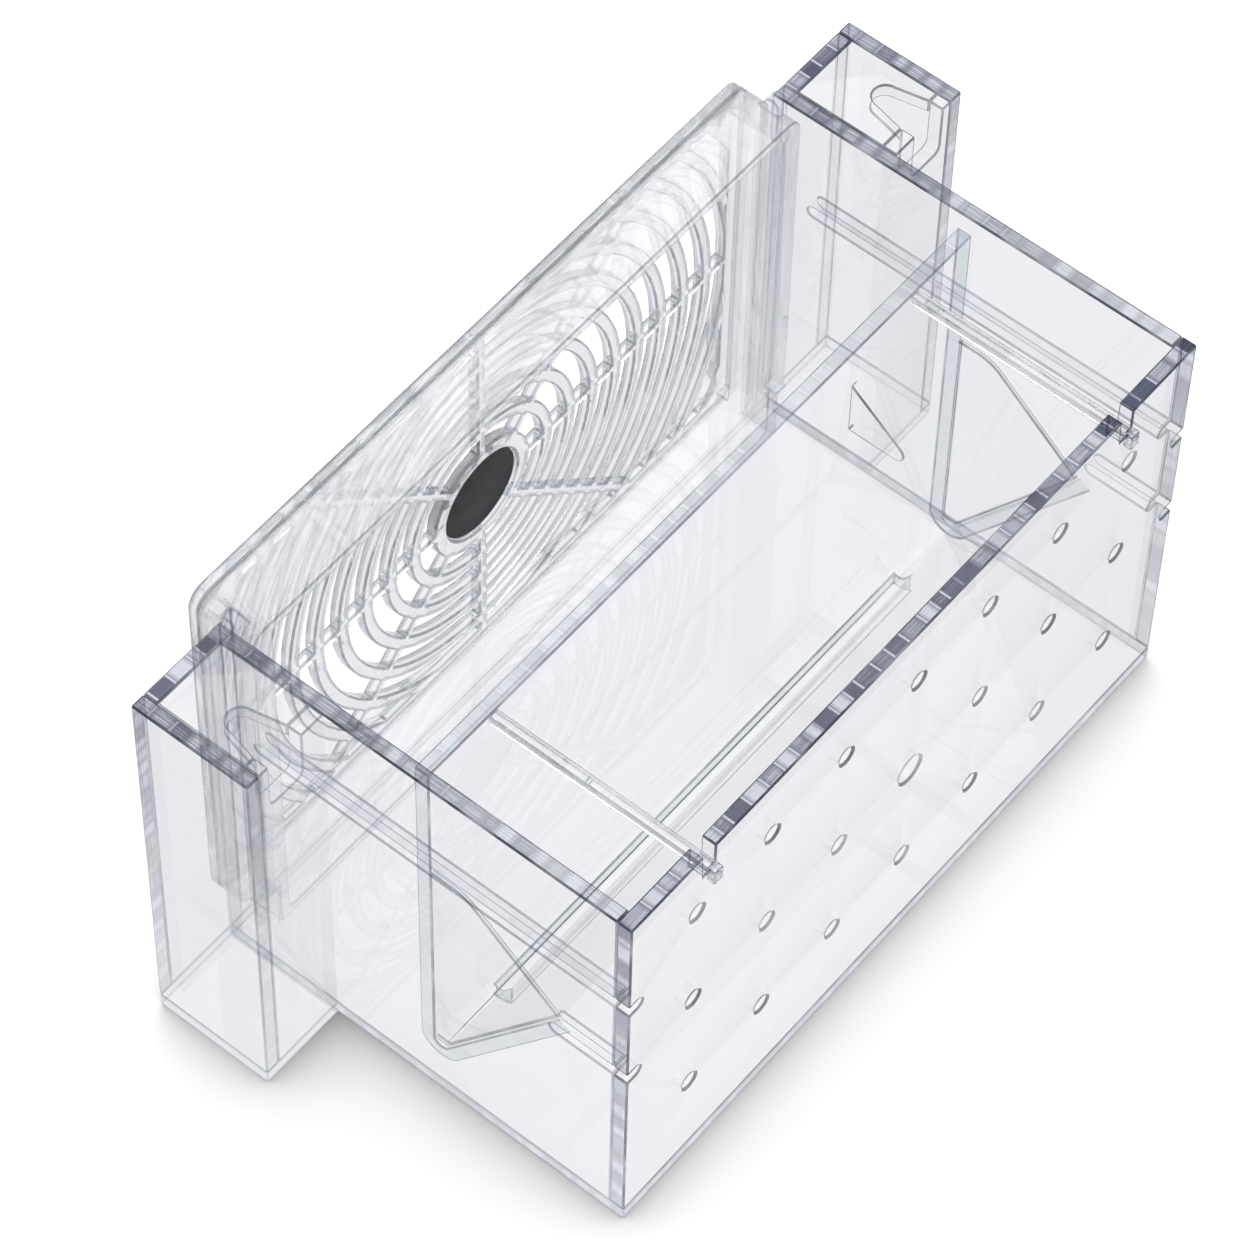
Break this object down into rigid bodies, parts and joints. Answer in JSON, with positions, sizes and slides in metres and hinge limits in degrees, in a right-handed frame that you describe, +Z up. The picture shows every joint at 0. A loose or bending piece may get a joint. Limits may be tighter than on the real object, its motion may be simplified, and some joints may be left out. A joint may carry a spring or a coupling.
{
  "type": "fish breeding box",
  "caption": "Clear acrylic aquarium breeding box with drilled front wall, hollow side ears, lift-out slotted rear grille and lift-out divider with sloping trough",
  "frame": {"origin": "middle of the underside of the bounding box, on the surface that the floor panel stands on", "axes": "+X along the box's length, +Y from the drilled front wall to the grille, +Z up"},
  "size_m": [0.249, 0.1308, 0.1265],
  "materials": {
    "clear_acrylic": "polished clear sheet",
    "black_plastic": "smooth black"
  },
  "bodies": {
    "box": {"floor_panel": "clear_acrylic", "front_wall": "clear_acrylic", "left_end_wall": "clear_acrylic", "right_end_wall": "clear_acrylic", "left_ear_floor": "clear_acrylic", "left_ear_outer_wall": "clear_acrylic", "left_ear_rear_wall": "clear_acrylic", "left_ear_front_wall": "clear_acrylic", "left_ear_top_plate": "clear_acrylic", "right_ear_floor": "clear_acrylic", "right_ear_outer_wall": "clear_acrylic", "right_ear_rear_wall": "clear_acrylic", "right_ear_front_wall": "clear_acrylic", "right_ear_top_plate": "clear_acrylic", "left_guide_rail": "clear_acrylic", "right_guide_rail": "clear_acrylic", "right_wall_wedge": "clear_acrylic"},
    "grille_cassette": {"cassette_rim": "clear_acrylic", "grille_plate": "clear_acrylic", "hub_disc": "black_plastic"},
    "divider_insert": {"divider_sheet": "clear_acrylic", "left_cheek": "clear_acrylic", "right_cheek": "clear_acrylic", "left_arm": "clear_acrylic", "right_arm": "clear_acrylic"}
  },
  "joints": [
    {"name": "grille_cassette_slide", "type": "slide", "parent": "box", "child": "grille_cassette", "axis": [0, 0, 1], "range_m": [0, 0.13]},
    {"name": "divider_insert_lift", "type": "slide", "parent": "box", "child": "divider_insert", "axis": [0, 0, 1], "range_m": [0, 0.13]}
  ]
}
